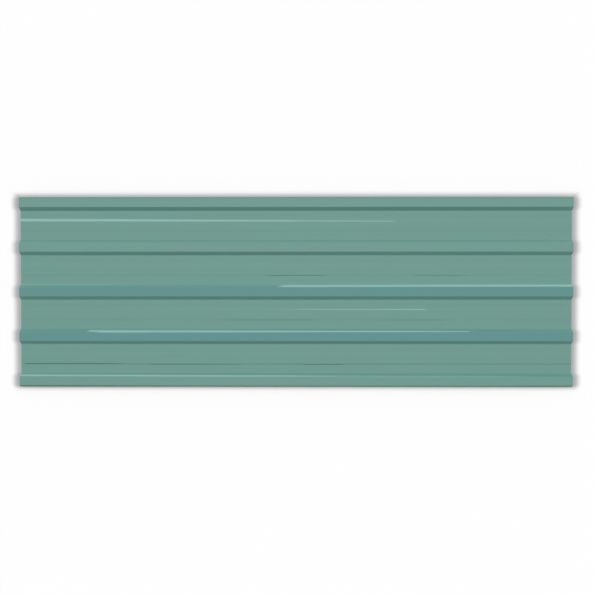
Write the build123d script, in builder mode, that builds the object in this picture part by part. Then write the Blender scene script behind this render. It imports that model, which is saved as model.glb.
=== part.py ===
# Trapezoidal ribbed sheet, roll-formed from one strip of prepainted steel.
# It lies with its pans on the floor: X runs along the ribs, Y across them, Z is up.
# The origin is on the floor, under the middle of the sheet.

import os

from build123d import *

# The strip, in millimetres
sheet_length = 3050.0
steel_thickness = 0.5
inside_bend_radius = 2.5

# The main ribs, measured on the underside between the section's sharp corners
rib_count = 5
rib_pitch = 246.0
rib_height = 25.0
rib_top_width = 48.0
rib_side_run = 18.5

# The outer leg of each edge rib stops short of the floor, so that the next sheet can lap over it
lap_leg_height = 10.0

# The low stiffening swage along the middle of each pan
swage_height = 1.0
swage_top_width = 48.0
swage_side_run = 12.0

rib_base_width = rib_top_width + 2 * rib_side_run
swage_base_width = swage_top_width + 2 * swage_side_run

pan_count = rib_count - 1
first_rib_centre = -rib_pitch * pan_count / 2
last_rib_centre = -first_rib_centre

lap_leg_run = lap_leg_height * rib_side_run / rib_height
lap_edge_offset = rib_top_width / 2 + lap_leg_run
lap_edge_height = rib_height - lap_leg_height


def bend_corners_to_next_rib(rib_centre):
    """Sharp corners of the underside, from the crest of one rib across a pan to the next crest."""
    pan_centre = rib_centre + rib_pitch / 2
    next_rib_centre = rib_centre + rib_pitch
    return [
        (rib_centre + rib_top_width / 2, rib_height),
        (rib_centre + rib_base_width / 2, 0),
        (pan_centre - swage_base_width / 2, 0),
        (pan_centre - swage_top_width / 2, swage_height),
        (pan_centre + swage_top_width / 2, swage_height),
        (pan_centre + swage_base_width / 2, 0),
        (next_rib_centre - rib_base_width / 2, 0),
        (next_rib_centre - rib_top_width / 2, rib_height),
    ]


def underside_bend_radius(corner):
    """The underside is inside a raised bend, and outside a bend that lies on the floor."""
    height_above_floor = corner[1]
    if height_above_floor > 0:
        return inside_bend_radius
    return inside_bend_radius + steel_thickness


# The bends in order across the sheet, from its -Y edge to its +Y edge
bend_corners = [(first_rib_centre - rib_top_width / 2, rib_height)]
for pan in range(pan_count):
    bend_corners += bend_corners_to_next_rib(first_rib_centre + pan * rib_pitch)
bend_corners.append((last_rib_centre + rib_top_width / 2, rib_height))

first_edge = (first_rib_centre - lap_edge_offset, lap_edge_height)
last_edge = (last_rib_centre + lap_edge_offset, lap_edge_height)

# The bent strip has the same thickness everywhere, and both ends are cut square
with BuildPart() as corrugated_sheet:
    with BuildSketch(Plane.YZ) as section:
        with BuildLine() as strip_outline:
            FilletPolyline(
                first_edge,
                *bend_corners,
                last_edge,
                radius=[underside_bend_radius(corner) for corner in bend_corners],
            )
            offset(amount=steel_thickness, side=Side.LEFT)
        make_face()
    extrude(amount=sheet_length / 2, both=True)

corrugated_sheet.part.label = "corrugated_sheet"
os.makedirs("parts", exist_ok=True)
export_step(corrugated_sheet.part, "parts/corrugated_sheet.step")
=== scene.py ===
# Looks of the corrugated sheet, in metres: X runs along the ribs, Y across them, Z is up.
import math

import bpy
from mathutils import Matrix, Vector


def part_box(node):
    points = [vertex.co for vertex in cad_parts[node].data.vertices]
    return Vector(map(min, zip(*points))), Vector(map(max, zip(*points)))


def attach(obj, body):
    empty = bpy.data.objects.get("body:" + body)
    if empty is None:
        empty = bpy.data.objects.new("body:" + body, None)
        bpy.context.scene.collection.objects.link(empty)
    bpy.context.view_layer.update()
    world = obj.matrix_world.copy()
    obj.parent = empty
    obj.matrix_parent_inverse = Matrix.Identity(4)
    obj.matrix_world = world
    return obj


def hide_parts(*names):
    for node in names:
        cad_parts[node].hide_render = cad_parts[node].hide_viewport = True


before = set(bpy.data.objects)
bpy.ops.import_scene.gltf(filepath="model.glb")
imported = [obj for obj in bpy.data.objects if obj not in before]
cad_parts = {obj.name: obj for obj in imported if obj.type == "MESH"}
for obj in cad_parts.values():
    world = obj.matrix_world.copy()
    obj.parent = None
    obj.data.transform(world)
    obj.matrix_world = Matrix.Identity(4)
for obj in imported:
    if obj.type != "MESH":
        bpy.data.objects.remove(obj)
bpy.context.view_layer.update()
sheetLow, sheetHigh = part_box("corrugated_sheet")
print("frame loaded with", len(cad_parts), "node")

scene = bpy.context.scene
scene.view_settings.view_transform = "Standard"


# Small helpers for node trees

def wire(tree, value, socket):  # links a socket, or sets a plain value
    if isinstance(value, bpy.types.NodeSocket):
        tree.links.new(value, socket)
    else:
        socket.default_value = value


def addNode(tree, kind, inputs=None, **settings):
    node = tree.nodes.new(kind)
    for name, value in settings.items():
        setattr(node, name, value)
    for key, value in (inputs or {}).items():
        wire(tree, value, node.inputs[key])
    return node


def calc(tree, operation, *values):  # one Math node
    node = addNode(tree, "ShaderNodeMath", operation=operation)
    for value, socket in zip(values, node.inputs):
        wire(tree, value, socket)
    return node.outputs[0]


def halfOf(tree, value):
    return calc(tree, "DIVIDE", value, 2)


def oneMinus(tree, value):
    return calc(tree, "SUBTRACT", 1, value)


def distance(tree, value, other):
    return calc(tree, "ABSOLUTE", calc(tree, "SUBTRACT", value, other))


def mapTo(tree, value, low, high, first=0.0, last=1.0):  # first up to low, last from high, straight between
    inputs = {0: value, 1: low, 2: high, 3: first, 4: last}
    return addNode(tree, "ShaderNodeMapRange", inputs).outputs[0]


def ease(tree, value, low, high):  # 0 up to low, 1 from high, smooth between
    inputs = {0: value, 1: low, 2: high}
    return addNode(tree, "ShaderNodeMapRange", inputs, interpolation_type="SMOOTHSTEP").outputs[0]


def axesOf(tree, vector):  # its X, Y and Z
    return addNode(tree, "ShaderNodeSeparateXYZ", {0: vector}).outputs


def blendColour(tree, share, first, second):  # 6, 7 and 2 are the colour sockets of a Mix node
    inputs = {0: share, 6: first, 7: second}
    return addNode(tree, "ShaderNodeMix", inputs, data_type="RGBA").outputs[2]


# The sheet: its sizes, and how finely it is cut into faces

sheet = {
    "thickness": 0.0005,
    "bendRadius": 0.0025,   # inside of every bend
    "pans": 4,
    "ribTop": 0.048,
    "ribSide": 0.0185,      # run of a rib's sloping side
    "lapLeg": 0.010,        # drop of the outer leg along both edges
    "swageHeight": 0.001,
    "swageTop": 0.048,
    "swageSide": 0.012,
    "bendSteps": 5,         # strips round a bend of a rib
    "swageSteps": 1,        # and round the slight bends of a swage
    "flatStep": 0.014,      # widest strip of faces on a flat
    "lengthSteps": 96,
    "waveHeight": 0.0004,   # the slight oil-canning of the flats
    "waveLength": 0.42,
    "waveDetail": 1.0,
    "weld": 1e-5,           # points nearer than this are one
    "sharpAngle": math.radians(40),     # the cut edges are sharper than this, the bends aren't
    "seed": 7,
}

# The frame gives the sheet's length, height and width, and so the pitch of its ribs
sheet["length"] = sheetHigh.x - sheetLow.x
sheet["ribHeight"] = sheetHigh.z - sheetLow.z - sheet["thickness"]
lapRun = sheet["lapLeg"] * sheet["ribSide"] / sheet["ribHeight"]
edgeReach = sheet["thickness"] * sheet["ribHeight"] / math.hypot(sheet["ribSide"], sheet["ribHeight"])
sheetWidth = sheetHigh.y - sheetLow.y
sheet["pitch"] = (sheetWidth - sheet["ribTop"] - 2 * (lapRun + edgeReach)) / sheet["pans"]

# Ribs and pans are counted from the far edge
ribCentres = [(sheet["pans"] / 2 - rib) * sheet["pitch"] for rib in range(sheet["pans"] + 1)]
panCentres = [centre - sheet["pitch"] / 2 for centre in ribCentres[:-1]]
print("rib pitch", round(sheet["pitch"], 5))

cornersPerPan = 8
pointsPerEdge = 2       # the end of a lap leg, and the bend above it


def sectionCorners(tree, size, pointCount):
    # The corners of a pan are counted from the rib before it to the rib after it: crest, foot, swage foot,
    # swage crest, and back again. The two points at the ends are feet that stop short: the lap legs.
    index = addNode(tree, "GeometryNodeInputIndex").outputs[0]
    step = calc(tree, "SUBTRACT", index, pointsPerEdge)
    pan = calc(tree, "FLOOR", calc(tree, "DIVIDE", step, cornersPerPan))
    corner = calc(tree, "FLOORED_MODULO", step, cornersPerPan)
    fromRib = calc(tree, "MINIMUM", corner, calc(tree, "SUBTRACT", cornersPerPan - 1, corner))
    side = calc(tree, "SIGN", calc(tree, "SUBTRACT", corner, (cornersPerPan - 1) / 2))

    middle = halfOf(tree, calc(tree, "SUBTRACT", pointCount, 1))
    isLapLeg = calc(tree, "COMPARE", distance(tree, index, middle), middle, 0.5)    # to within half a point
    shortBy = oneMinus(tree, calc(tree, "DIVIDE", size["lapLeg"], size["ribHeight"]))
    footShare = oneMinus(tree, calc(tree, "MULTIPLY", isLapLeg, shortBy))

    crestReach = halfOf(tree, calc(tree, "SUBTRACT", size["pitch"], size["ribTop"]))
    footReach = calc(tree, "SUBTRACT", crestReach, calc(tree, "MULTIPLY", size["ribSide"], footShare))
    footHeight = calc(tree, "MULTIPLY", size["ribHeight"], oneMinus(tree, footShare))
    swageReach = halfOf(tree, size["swageTop"])
    swageFoot = calc(tree, "ADD", swageReach, size["swageSide"])

    def byCorner(values):
        node = addNode(tree, "GeometryNodeIndexSwitch", data_type="FLOAT")
        while len(node.index_switch_items) < len(values):
            node.index_switch_items.new()
        for key, value in enumerate([fromRib] + values):
            wire(tree, value, node.inputs[key])
        return node.outputs[0]

    reach = byCorner([crestReach, footReach, swageFoot, swageReach])
    height = byCorner([size["ribHeight"], footHeight, 0.0, size["swageHeight"]])
    bendSteps = byCorner([size["bendSteps"], size["bendSteps"], size["swageSteps"], size["swageSteps"]])
    fromMiddlePan = calc(tree, "SUBTRACT", pan, halfOf(tree, calc(tree, "SUBTRACT", size["pans"], 1)))
    panCentre = calc(tree, "MULTIPLY", fromMiddlePan, size["pitch"])
    across = calc(tree, "MULTIPLY_ADD", side, reach, panCentre)
    return addNode(tree, "ShaderNodeCombineXYZ", {"Y": across, "Z": height}).outputs[0], bendSteps


def sectionCurve(tree, size):
    pointCount = calc(tree, "MULTIPLY_ADD", size["pans"], cornersPerPan, 2 * pointsPerEdge)
    line = addNode(tree, "GeometryNodeMeshLine", {"Count": pointCount})
    cornerPlaces, bendSteps = sectionCorners(tree, size, pointCount)
    corners = addNode(tree, "GeometryNodeSetPosition", {
        "Geometry": line.outputs[0], "Position": cornerPlaces})
    strip = addNode(tree, "GeometryNodeMeshToCurve", {"Mesh": corners.outputs[0]})

    # The underside is outside the bends that lie on the floor, so those are larger by the steel
    place = addNode(tree, "GeometryNodeInputPosition").outputs[0]
    onFloor = calc(tree, "LESS_THAN", axesOf(tree, place)["Z"], size["weld"])
    radius = calc(tree, "MULTIPLY_ADD", onFloor, size["thickness"], size["bendRadius"])
    bent = addNode(tree, "GeometryNodeFilletCurve", {
        "Curve": strip.outputs[0], "Count": bendSteps, "Radius": radius}, mode="POLY")

    # Flats are cut into strips, and the short runs round the bends stay as they are
    index = addNode(tree, "GeometryNodeInputIndex").outputs[0]
    ahead = addNode(tree, "GeometryNodeFieldAtIndex", {0: place, 1: calc(tree, "ADD", index, 1)},
                    data_type="FLOAT_VECTOR")
    run = addNode(tree, "ShaderNodeVectorMath", {0: place, 1: ahead.outputs[0]}, operation="DISTANCE")
    cuts = calc(tree, "FLOOR", calc(tree, "DIVIDE", run.outputs["Value"], size["flatStep"]))
    return addNode(tree, "GeometryNodeSubdivideCurve", {"Curve": bent.outputs[0], "Cuts": cuts}).outputs[0]


def oilCanning(tree, size, place):
    # Each flat of a pan rises a little between its bends, more or less along the sheet, and never sinks
    pitches = calc(tree, "DIVIDE", axesOf(tree, place)["Y"], size["pitch"])
    turns = calc(tree, "FRACT", calc(tree, "ADD", pitches, halfOf(tree, size["pans"])))
    fromPan = calc(tree, "MULTIPLY", distance(tree, turns, 0.5), size["pitch"])

    swageReach = halfOf(tree, size["swageTop"])
    swageFoot = calc(tree, "ADD", swageReach, size["swageSide"])
    ribBase = calc(tree, "MULTIPLY_ADD", size["ribSide"], 2, size["ribTop"])
    ribFoot = halfOf(tree, calc(tree, "SUBTRACT", size["pitch"], ribBase))

    def arch(low, high):  # 0 at both bends and 1 midway
        fromLow = calc(tree, "SUBTRACT", fromPan, low)
        share = calc(tree, "DIVIDE", fromLow, calc(tree, "SUBTRACT", high, low))
        bow = calc(tree, "MULTIPLY", share, oneMinus(tree, share))
        return calc(tree, "MAXIMUM", calc(tree, "MULTIPLY", bow, 4), 0)

    onStrip = arch(swageFoot, ribFoot)
    onSwage = arch(calc(tree, "MULTIPLY", swageReach, -1), swageReach)
    flats = calc(tree, "MAXIMUM", onStrip, onSwage)
    noise = addNode(tree, "ShaderNodeTexNoise", {
        "Vector": place, "W": size["seed"], "Scale": calc(tree, "DIVIDE", 1, size["waveLength"]),
        "Detail": size["waveDetail"]}, noise_dimensions="4D")
    rise = calc(tree, "MULTIPLY", calc(tree, "MULTIPLY", noise.outputs[0], flats), size["waveHeight"])
    return addNode(tree, "ShaderNodeCombineXYZ", {"Z": rise}).outputs[0]


def undersideSurface(tree, size, section):
    # A grid whose every row is the section, spread along the sheet
    pointCount = addNode(tree, "GeometryNodeAttributeDomainSize", {0: section}, component="CURVE").outputs[0]
    rows = calc(tree, "ADD", size["lengthSteps"], 1)
    grid = addNode(tree, "GeometryNodeMeshGrid", {"Vertices X": rows, "Vertices Y": pointCount})

    index = addNode(tree, "GeometryNodeInputIndex").outputs[0]
    halfPast = calc(tree, "ADD", index, 0.5)    # so that rounding can't put a point in the row before
    row = calc(tree, "FLOOR", calc(tree, "DIVIDE", halfPast, pointCount))
    point = calc(tree, "SUBTRACT", index, calc(tree, "MULTIPLY", row, pointCount))
    place = addNode(tree, "GeometryNodeInputPosition").outputs[0]
    onSection = addNode(tree, "GeometryNodeSampleIndex", {0: section, 1: place, 2: point},
                        data_type="FLOAT_VECTOR", clamp=True)

    fromMiddle = calc(tree, "SUBTRACT", calc(tree, "DIVIDE", row, size["lengthSteps"]), 0.5)
    along = calc(tree, "MULTIPLY", fromMiddle, size["length"])
    shift = addNode(tree, "ShaderNodeCombineXYZ", {"X": along})
    spot = addNode(tree, "ShaderNodeVectorMath", {0: onSection.outputs[0], 1: shift.outputs[0]},
                   operation="ADD")
    formed = addNode(tree, "GeometryNodeSetPosition", {
        "Geometry": grid.outputs[0], "Position": spot.outputs[0]})
    waved = addNode(tree, "GeometryNodeSetPosition", {
        "Geometry": formed.outputs[0], "Offset": oilCanning(tree, size, place)})
    return waved.outputs[0]


def sheetTree():
    tree = bpy.data.node_groups.new("ribbedSheet", "GeometryNodeTree")
    tree.is_modifier = True
    for name, value in sheet.items():
        kind = "NodeSocketInt" if isinstance(value, int) else "NodeSocketFloat"
        tree.interface.new_socket(name, in_out="INPUT", socket_type=kind)
    for name in ("paint", "backer", "cutEdge"):
        tree.interface.new_socket(name, in_out="INPUT", socket_type="NodeSocketMaterial")
    tree.interface.new_socket("Geometry", in_out="OUTPUT", socket_type="NodeSocketGeometry")
    size = addNode(tree, "NodeGroupInput").outputs

    # The steel's thickness is raised from the underside, which is then turned to face down
    underside = undersideSurface(tree, size, sectionCurve(tree, size))
    wall = addNode(tree, "GeometryNodeExtrudeMesh", {
        "Mesh": underside, "Offset Scale": size["thickness"], "Individual": False})
    below = addNode(tree, "GeometryNodeFlipFaces", {"Mesh": underside})
    both = addNode(tree, "GeometryNodeJoinGeometry")
    tree.links.new(wall.outputs["Mesh"], both.inputs[0])
    tree.links.new(below.outputs[0], both.inputs[0])
    welded = addNode(tree, "GeometryNodeMergeByDistance", {
        "Geometry": both.outputs[0], "Distance": size["weld"]})

    # Round the bends the shading is smooth, and at the cut edges it is sharp
    smooth = addNode(tree, "GeometryNodeSetShadeSmooth", {"Geometry": welded.outputs[0]})
    angle = addNode(tree, "GeometryNodeInputMeshEdgeAngle").outputs[0]
    isSharp = calc(tree, "GREATER_THAN", angle, size["sharpAngle"])
    edged = addNode(tree, "GeometryNodeSetShadeSmooth", {
        "Geometry": smooth.outputs[0], "Selection": isSharp, "Shade Smooth": False}, domain="EDGE")

    isTop, isEdge = wall.outputs["Top"], wall.outputs["Side"]
    isBack = addNode(tree, "FunctionNodeBooleanMath", {0: isTop, 1: isEdge}, operation="NOR").outputs[0]
    dressed = addNode(tree, "GeometryNodeRealizeInstances", {"Geometry": edged.outputs[0]})
    for faces, coat in ((isTop, "paint"), (isEdge, "cutEdge"), (isBack, "backer")):
        dressed = addNode(tree, "GeometryNodeSetMaterial", {
            "Geometry": dressed.outputs[0], "Selection": faces, "Material": size[coat]})
    addNode(tree, "NodeGroupOutput", {0: dressed.outputs[0]})
    return tree


def makeSheet(materials):
    piece = bpy.data.objects.new("corrugated_sheet_formed", bpy.data.meshes.new("corrugated_sheet_formed"))
    scene.collection.objects.link(piece)
    form = piece.modifiers.new("ribbedSheet", "NODES")
    form.node_group = sheetTree()
    values = {**sheet, **materials}
    for item in form.node_group.interface.items_tree:
        if item.in_out == "INPUT":
            form[item.identifier] = values[item.name]
    flatShading = piece.modifiers.new("flatShading", "WEIGHTED_NORMAL")
    flatShading.keep_sharp = True

    depsgraph = bpy.context.evaluated_depsgraph_get()
    piece.data = bpy.data.meshes.new_from_object(piece.evaluated_get(depsgraph))
    piece.modifiers.clear()
    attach(piece, "root")
    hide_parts("corrugated_sheet")
    print("sheet formed:", len(piece.data.vertices), "points,", len(piece.data.polygons), "faces")


# Materials

def newMaterial(name):
    material = bpy.data.materials.new(name)
    material.use_nodes = True
    tree = material.node_tree
    return material, tree, tree.nodes["Principled BSDF"]


def objectPlace(tree):
    return addNode(tree, "ShaderNodeTexCoord").outputs["Object"]


def stretchedNoise(tree, place, scale, detail, seed):
    stretched = addNode(tree, "ShaderNodeMapping", {
        "Vector": place, "Scale": scale, "Location": (seed, seed, 0)})
    inputs = {"Vector": stretched.outputs[0], "Scale": 1.0, "Detail": detail}
    return addNode(tree, "ShaderNodeTexNoise", inputs).outputs[0]


def addBump(tree, shader, height, strength, depth):
    bump = addNode(tree, "ShaderNodeBump", {"Strength": strength, "Distance": depth, "Height": height})
    wire(tree, bump.outputs[0], shader.inputs["Normal"])


def fromNearestRib(tree, across):  # distance from the middle of the nearest rib
    pitches = calc(tree, "DIVIDE", across, sheet["pitch"])
    turns = calc(tree, "FRACT", calc(tree, "ADD", pitches, 0.5))
    return calc(tree, "MULTIPLY", distance(tree, turns, 0.5), sheet["pitch"])


# The slight orange peel of a coil coating, on both faces
peel = {"scale": 520.0, "detail": 1.0, "strength": 0.08, "depth": 0.0002}


def addPeel(tree, place, shader):
    inputs = {"Vector": place, "Scale": peel["scale"], "Detail": peel["detail"]}
    height = addNode(tree, "ShaderNodeTexNoise", inputs).outputs[0]
    addBump(tree, shader, height, peel["strength"], peel["depth"])


# The marks are lines along the sheet: painted highlights where they are light, and painted shade where they
# are dark
marks = {
    "streaks": {"scale": (2.5, 650, 400), "detail": 2.0, "seed": 17.0},
    "streaky": 1.4,         # how uneven a mark is across its width
    "fray": 0.08,           # the streaks of a mark start and end this unevenly
    "softEdge": (0.4, 1.6),     # a mark fades out between these shares of its half width
    "roughness": 0.15,
    "overrun": 0.075,       # a mark that runs off the sheet goes on this far
    "crisp": 0.01,          # the fade of an end that is cut short or lies off the sheet
}
offEnd = sheet["length"] / 2 + marks["overrun"]
crisp = marks["crisp"]

# at is the place across the sheet; along, width and fade each give a start and an end; lean is the drift
# across the sheet from start to end. A mark that doesn't say otherwise runs straight off both ends.
plainMark = {"along": (-offEnd, offEnd), "fade": (crisp, crisp), "lean": 0.0}

# painted highlights: pale lines along the far slopes of the swages and the far sides of the ribs
paintedHighlightMarks = [
    dict(at=panCentres[0] + 0.0300, along=(-offEnd, 0.12), width=(0.0145, 0.0058),
         fade=(crisp, 0.16), strength=0.82, lean=-0.0065),
    dict(at=panCentres[0] + 0.0240, along=(-0.10, 0.56), width=(0.0068, 0.0050),
         fade=(0.05, 0.03), strength=0.58, lean=-0.0020),
    dict(at=panCentres[2] + 0.0256, along=(-0.14, 0.73), width=(0.0015, 0.0056),
         fade=(0.22, 0.02), strength=0.62),
    dict(at=ribCentres[1] + 0.0300, width=(0.0120, 0.0120), strength=0.08),
    dict(at=ribCentres[2] + 0.0380, width=(0.0130, 0.0130), strength=0.10),
    dict(at=ribCentres[2] + 0.0410, along=(-offEnd, -0.85), width=(0.0036, 0.0030),
         fade=(crisp, 0.30), strength=0.45),
    dict(at=ribCentres[2] + 0.0326, along=(-0.10, offEnd), width=(0.0108, 0.0098),
         fade=(0.04, crisp), strength=1.0, lean=0.0028),
    dict(at=ribCentres[3] + 0.0306, along=(-1.15, -1.04), width=(0.0066, 0.0100),
         fade=(crisp, 0.03), strength=0.95, lean=-0.0020),
    dict(at=ribCentres[3] + 0.0282, along=(-1.12, 0.96), width=(0.0108, 0.0045),
         fade=(0.07, 0.02), strength=0.97),
    dict(at=ribCentres[4] + 0.0310, along=(-offEnd, 0.80), width=(0.0080, 0.0066),
         fade=(crisp, 1.20), strength=0.82, lean=-0.0046),
    dict(at=ribCentres[4] + 0.0263, along=(-0.10, 1.45), width=(0.0050, 0.0050),
         fade=(0.50, 0.36), strength=0.30),
]

# painted shade: dark lines on the near slopes of the swages, on the last rib and its lap leg, and on the
# first rib's far bend
paintedShadeMarks = [
    dict(at=ribCentres[0] + 0.0265, width=(0.0130, 0.0130), strength=0.20),
    dict(at=panCentres[1] - 0.0320, along=(-0.19, 0.20), width=(0.0048, 0.0036),
         fade=(0.08, 0.05), strength=0.66),
    dict(at=panCentres[1] - 0.0320, along=(0.62, 1.00), width=(0.0036, 0.0036),
         fade=(0.06, 0.14), strength=0.66),
    dict(at=panCentres[2] - 0.0326, along=(-1.10, -0.85), width=(0.0080, 0.0080),
         fade=(0.05, 0.05), strength=0.06),
    dict(at=panCentres[2] - 0.0326, along=(-0.49, 0.15), width=(0.0100, 0.0100),
         fade=(0.25, 0.10), strength=0.22),
    dict(at=panCentres[2] - 0.0326, along=(0.30, 0.86), width=(0.0100, 0.0100),
         fade=(0.30, 0.08), strength=0.17),
    dict(at=panCentres[3] - 0.0292, along=(-1.51, -0.91), width=(0.0066, 0.0042),
         fade=(crisp, 0.11), strength=0.82),
    dict(at=panCentres[3] - 0.0322, along=(-0.85, -0.27), width=(0.0058, 0.0032),
         fade=(0.07, 0.06), strength=0.85),
    dict(at=panCentres[3] - 0.0324, along=(0.04, 0.29), width=(0.0036, 0.0036),
         fade=(crisp, 0.04), strength=0.95),
    dict(at=panCentres[3] - 0.0314, along=(-1.51, offEnd), width=(0.0030, 0.0030), strength=0.55),
    dict(at=ribCentres[4] + 0.0290, along=(1.05, offEnd), width=(0.0090, 0.0090),
         fade=(0.15, crisp), strength=0.12),
    dict(at=ribCentres[4] - 0.0290, width=(0.0090, 0.0090), strength=0.50),
    dict(at=ribCentres[4] - 0.0262, along=(-offEnd, -0.40), width=(0.0075, 0.0060),
         fade=(crisp, 0.80), strength=0.72),
    dict(at=ribCentres[4] - 0.0280, along=(0.80, offEnd), width=(0.0085, 0.0085),
         fade=(0.50, crisp), strength=0.66),
]


def oneMark(tree, along, frayed, across, mark):
    start, end = mark["along"]
    startFade, endFade = mark["fade"]
    startWidth, endWidth = mark["width"]
    begun = ease(tree, frayed, start, start + startFade)
    goesOn = oneMinus(tree, ease(tree, frayed, end - endFade, end))
    span = calc(tree, "MULTIPLY", begun, goesOn)

    share = mapTo(tree, along, start, end)
    halfWidth = mapTo(tree, share, 0, 1, startWidth / 2, endWidth / 2)
    middle = calc(tree, "MULTIPLY_ADD", share, mark["lean"], mark["at"])
    off = calc(tree, "DIVIDE", distance(tree, across, middle), halfWidth)
    near = oneMinus(tree, ease(tree, off, *marks["softEdge"]))
    return calc(tree, "MULTIPLY", calc(tree, "MULTIPLY", span, near), mark["strength"])


def markMask(tree, along, across, streaks, lines):
    uneven = calc(tree, "SUBTRACT", streaks, 0.5)
    frayed = calc(tree, "MULTIPLY_ADD", uneven, marks["fray"], along)
    total = 0.0
    for line in lines:
        strength = oneMark(tree, along, frayed, across, {**plainMark, **line})
        total = calc(tree, "MAXIMUM", total, strength)
    return calc(tree, "MULTIPLY", total, calc(tree, "MULTIPLY_ADD", uneven, marks["streaky"], 1))


paint = {
    "colour": (0.144, 0.306, 0.264, 1),
    "warmer": (0.150, 0.303, 0.264, 1),     # soft patches along the sheet
    "patches": {"scale": (1.6, 7.0, 7.0), "detail": 2.0, "seed": 3.0},
    "patchEdge": (0.35, 0.65),
    "ribSide": (0.131, 0.303, 0.260, 1),    # painted shade: the steep sides a little darker and deeper than the flats
    "sideStart": (0.002, 0.005),    # heights over which a side's colour comes in
    "topStart": (0.003, 0.0005),    # and how far below the crest it gives way to the top's
    "ribBlue": (0.106, 0.266, 0.253, 1),
    "blueRibs": [2, 3],
    # the pale colour of the painted highlights, and of the wear along the crests
    "paintedLightAndWear": (0.300, 0.530, 0.490, 1),
    # the dark colour of the painted shade
    "paintedShade": (0.055, 0.150, 0.122, 1),
    # wear and painted highlight along the crest bends
    "crestWearAndSheen": 0.03,
    "crestBand": (0.001, 0.006),    # the paler band fades out over this far from the bend
    # painted light at the feet of the ribs, evening out their shade
    "footPaintedLight": 0.07,
    "footLightReach": (0.004, 0.028),    # up the side of the rib, and out over the pan
    "drawLines": {"scale": (1.1, 120, 60), "detail": 3.0, "seed": 11.0},    # fine lines along the sheet
    "drawTone": 0.05,
    "drawRoughness": 0.12,
    "roughness": 0.56,
    "specular": 0.3,
}


def ribColours(tree, across, up, flatColour):
    # painted shade on the rib sides, which the tops don't take
    onSide = ease(tree, up, *paint["sideStart"])
    colour = blendColour(tree, onSide, flatColour, paint["ribSide"])
    onTop = ease(tree, up, *[sheet["ribHeight"] - drop for drop in paint["topStart"]])
    colour = blendColour(tree, onTop, colour, flatColour)
    blue = 0.0
    for rib in paint["blueRibs"]:
        isNear = calc(tree, "LESS_THAN", distance(tree, across, ribCentres[rib]), sheet["ribTop"])
        blue = calc(tree, "MAXIMUM", blue, isNear)
    return blendColour(tree, calc(tree, "MULTIPLY", blue, onTop), colour, paint["ribBlue"])


def crestWearAndSheen(tree, fromRib, drawn):  # wear and painted highlight: the crests a little paler along their bends
    fromBend = distance(tree, fromRib, sheet["ribTop"] / 2)
    band = oneMinus(tree, ease(tree, fromBend, *paint["crestBand"]))
    return calc(tree, "MULTIPLY", calc(tree, "MULTIPLY", band, drawn), paint["crestWearAndSheen"])


def footPaintedLight(tree, fromRib):  # painted light along the feet of the ribs, lifting the shade there
    pastFoot = calc(tree, "SUBTRACT", fromRib, sheet["ribTop"] / 2 + sheet["ribSide"])
    upSide, overPan = paint["footLightReach"]
    lifted = calc(tree, "SUBTRACT", ease(tree, pastFoot, -upSide, 0.0), ease(tree, pastFoot, 0.0, overPan))
    return calc(tree, "MULTIPLY", lifted, paint["footPaintedLight"])


def paintedTop():
    material, tree, shader = newMaterial("greenPaint")
    place = objectPlace(tree)
    along, across, up = axesOf(tree, place)
    fromRib = fromNearestRib(tree, across)
    drawn = stretchedNoise(tree, place, **paint["drawLines"])
    streaks = stretchedNoise(tree, place, **marks["streaks"])
    # painted highlights and painted shade, as lines along the bends
    paintedLightAndWear = markMask(tree, along, across, streaks, paintedHighlightMarks)
    paintedShade = markMask(tree, along, across, streaks, paintedShadeMarks)

    patchy = ease(tree, stretchedNoise(tree, place, **paint["patches"]), *paint["patchEdge"])
    flatColour = blendColour(tree, patchy, paint["colour"], paint["warmer"])
    colour = ribColours(tree, across, up, flatColour)
    # painted light: the crest bends (partly wear), the feet of the ribs, and the highlight lines
    for pale in (crestWearAndSheen(tree, fromRib, drawn), footPaintedLight(tree, fromRib), paintedLightAndWear):
        colour = blendColour(tree, pale, colour, paint["paintedLightAndWear"])
    # painted shade: the dark lines
    colour = blendColour(tree, paintedShade, colour, paint["paintedShade"])

    uneven = calc(tree, "SUBTRACT", drawn, 0.5)
    tone = calc(tree, "MULTIPLY_ADD", uneven, paint["drawTone"], 1)
    toned = addNode(tree, "ShaderNodeVectorMath", {0: colour, "Scale": tone}, operation="SCALE")
    wire(tree, toned.outputs[0], shader.inputs["Base Color"])

    rough = calc(tree, "MULTIPLY_ADD", uneven, paint["drawRoughness"], paint["roughness"])
    marked = calc(tree, "MAXIMUM", paintedLightAndWear, paintedShade)
    wire(tree, calc(tree, "MULTIPLY_ADD", marked, marks["roughness"], rough), shader.inputs["Roughness"])
    shader.inputs["Specular IOR Level"].default_value = paint["specular"]
    addPeel(tree, place, shader)
    return material


backer = {
    "colours": [(0.46, 0.46, 0.44, 1), (0.55, 0.55, 0.53, 1)],
    "drawLines": {"scale": (0.8, 90, 60), "detail": 3.0, "seed": 5.0},
    "toneEdge": (0.2, 0.8),
    "roughness": 0.45,
    "drawRoughness": 0.15,
}


def backerCoat():
    material, tree, shader = newMaterial("greyBacker")
    place = objectPlace(tree)
    drawn = stretchedNoise(tree, place, **backer["drawLines"])
    tone = ease(tree, drawn, *backer["toneEdge"])
    wire(tree, blendColour(tree, tone, *backer["colours"]), shader.inputs["Base Color"])
    rough = calc(tree, "MULTIPLY_ADD", drawn, backer["drawRoughness"], backer["roughness"])
    wire(tree, rough, shader.inputs["Roughness"])
    addPeel(tree, place, shader)
    return material


cutEdge = {
    "colours": [(0.42, 0.43, 0.44, 1), (0.60, 0.61, 0.62, 1)],
    "scores": {"scale": (2500, 2500, 300), "detail": 2.0, "seed": 23.0},    # upright lines left by the shear
    "roughness": 0.35,
    "scoreRoughness": 0.2,
    "scoreStrength": 0.25,
    "scoreDepth": 0.0001,
}


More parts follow.
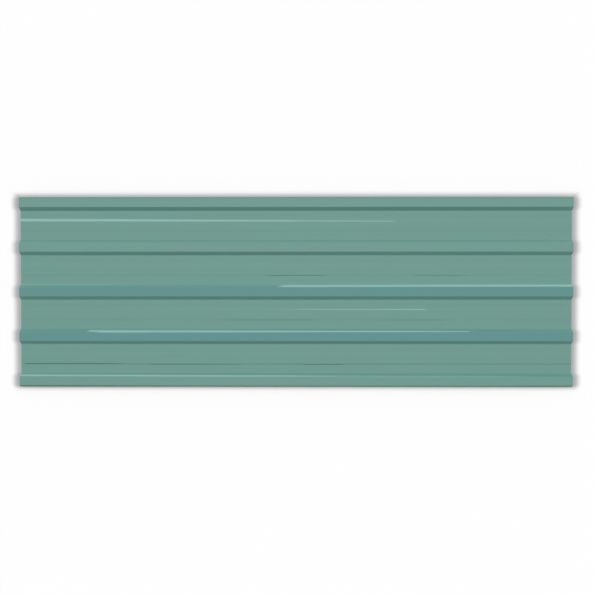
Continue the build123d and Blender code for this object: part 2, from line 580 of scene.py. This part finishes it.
def cutSteel():
    material, tree, shader = newMaterial("cutSteel")
    scored = stretchedNoise(tree, objectPlace(tree), **cutEdge["scores"])
    wire(tree, blendColour(tree, scored, *cutEdge["colours"]), shader.inputs["Base Color"])
    rough = calc(tree, "MULTIPLY_ADD", scored, cutEdge["scoreRoughness"], cutEdge["roughness"])
    wire(tree, rough, shader.inputs["Roughness"])
    shader.inputs["Metallic"].default_value = 1.0
    addBump(tree, shader, scored, cutEdge["scoreStrength"], cutEdge["scoreDepth"])
    return material


# The floor, with a soft shade painted round the sheet

paleFloor = {
    "reach": 30.0,
    "drop": 0.0002,             # keeps it just under the pans
    "colour": (0.998, 0.998, 0.998, 1),
    "shadeColour": (0, 0, 0, 1),
    "endShade": (0.0045, 0.054),    # where the shade past the ends starts to fade, and where it ends
    "endDepth": 0.56,
    "farShade": (0.001, 0.036),     # the same past the far edge and the near edge
    "farDepth": 0.42,
    "nearShade": (0.010, 0.032),
    "nearDepth": 0.175,
    "nearCorner": (-0.009, 0.030),  # where the ends' shade fades round the near corners
    "withinSides": (-0.012, 0.0),   # past the sides it is kept to the floor beyond the ends
    "cornerStart": (-0.012, 0.002),     # and starts there between these distances
    "farCorner": (-0.008, 0.020),   # where it becomes as deep as the far edge's
    "cornerRound": 0.15,        # softens the shade's far corners
    "ribShade": 0.010,          # the raised ribs shade the floor further out
    "ribShadeCrest": 0.7,       # in full over this share of a crest
    "ribShadeSide": 1.4,        # and fading over this many runs of a rib's side
}


def floorShade(tree):  # how deep the painted shade is
    along, across = axesOf(tree, objectPlace(tree))[:2]
    crestReach = sheet["ribTop"] / 2
    sideReach = crestReach + paleFloor["ribShadeSide"] * sheet["ribSide"]
    offRib = ease(tree, fromNearestRib(tree, across), paleFloor["ribShadeCrest"] * crestReach, sideReach)
    sheetEnd = calc(tree, "MULTIPLY_ADD", oneMinus(tree, offRib), paleFloor["ribShade"], sheet["length"] / 2)
    pastEnd = calc(tree, "SUBTRACT", calc(tree, "ABSOLUTE", along), sheetEnd)
    pastFar = calc(tree, "SUBTRACT", across, sheetHigh.y)
    pastNear = calc(tree, "SUBTRACT", sheetLow.y, across)

    def faded(past, name):
        return oneMinus(tree, ease(tree, past, *paleFloor[name]))

    sideDepth = mapTo(tree, across, sheetLow.y, sheetHigh.y, paleFloor["nearDepth"], paleFloor["farDepth"])
    sideShade = calc(tree, "MULTIPLY", sideDepth, faded(pastNear, "nearShade"))
    endDepth = mapTo(tree, pastFar, *paleFloor["farCorner"], paleFloor["endDepth"], paleFloor["farDepth"])
    endShade = calc(tree, "MULTIPLY", endDepth, faded(pastNear, "nearCorner"))
    within = faded(calc(tree, "MAXIMUM", pastNear, pastFar), "withinSides")
    begun = calc(tree, "MAXIMUM", within, ease(tree, pastEnd, *paleFloor["cornerStart"]))
    depth = calc(tree, "MAXIMUM", sideShade, calc(tree, "MULTIPLY", endShade, begun))
    fade = calc(tree, "SMOOTH_MIN", faded(pastEnd, "endShade"), faded(pastFar, "farShade"),
                paleFloor["cornerRound"])
    return calc(tree, "MULTIPLY", depth, fade)


def makeFloor():
    reach = paleFloor["reach"]
    corners = [(-reach, -reach), (reach, -reach), (reach, reach), (-reach, reach)]
    mesh = bpy.data.meshes.new("paleFloor")
    mesh.from_pydata([(x, y, -paleFloor["drop"]) for x, y in corners], [], [range(len(corners))])
    floor = bpy.data.objects.new("paleFloor", mesh)
    scene.collection.objects.link(floor)

    material, tree, shader = newMaterial("paleFloor")
    colour = blendColour(tree, floorShade(tree), paleFloor["colour"], paleFloor["shadeColour"])
    wire(tree, colour, shader.inputs["Base Color"])
    shader.inputs["Roughness"].default_value = 1.0
    shader.inputs["Specular IOR Level"].default_value = 0.0
    mesh.materials.append(material)
    print("floor laid")


# Light and camera

softLight = {
    "skyColour": (1, 1, 1, 1),
    "skyLight": 0.585,
    "skySeen": 1.0,         # as the camera, gloss and glass see it
    "keyLight": 1.45,
    "keyLean": 27.5,        # degrees from straight down, from the far side
    "keySpread": 40.0,
}


def makeLight():
    world = bpy.data.worlds.new("paleSky")
    world.use_nodes = True
    scene.world = world
    tree = world.node_tree
    ray = addNode(tree, "ShaderNodeLightPath").outputs
    seen = calc(tree, "MAXIMUM", ray["Is Camera Ray"], ray["Is Glossy Ray"])
    seen = calc(tree, "MAXIMUM", seen, ray["Is Transmission Ray"])
    strength = mapTo(tree, seen, 0, 1, softLight["skyLight"], softLight["skySeen"])
    background = tree.nodes["Background"]
    background.inputs["Color"].default_value = softLight["skyColour"]
    wire(tree, strength, background.inputs["Strength"])

    key = bpy.data.lights.new("softKey", "SUN")
    key.energy = softLight["keyLight"]
    key.angle = math.radians(softLight["keySpread"])
    lamp = bpy.data.objects.new("softKey", key)
    lamp.rotation_euler = (math.radians(-softLight["keyLean"]), 0, 0)
    scene.collection.objects.link(lamp)
    print("sky and key light set")


camera = {
    "place": (0.0284, 0.0193, 3.74),
    "aim": (0.0098, -0.0309, 0.0),
    "lens": 40.83,
    "sensor": 36.0,
}


def makeCamera():
    eye = bpy.data.objects.new("camera", bpy.data.cameras.new("camera"))
    eye.data.sensor_width = camera["sensor"]
    eye.data.lens = camera["lens"]
    eye.location = camera["place"]
    back = (eye.location - Vector(camera["aim"])).normalized()
    right = Vector((0, 1, 0)).cross(back).normalized()  # the far edge is at the top of the picture
    eye.rotation_euler = Matrix((right, back.cross(right), back)).transposed().to_euler()
    scene.collection.objects.link(eye)
    scene.camera = eye
    print("camera set")


coats = {"paint": paintedTop(), "backer": backerCoat(), "cutEdge": cutSteel()}
print("coats made:", ", ".join(coats))
makeSheet(coats)
makeFloor()
makeLight()
makeCamera()
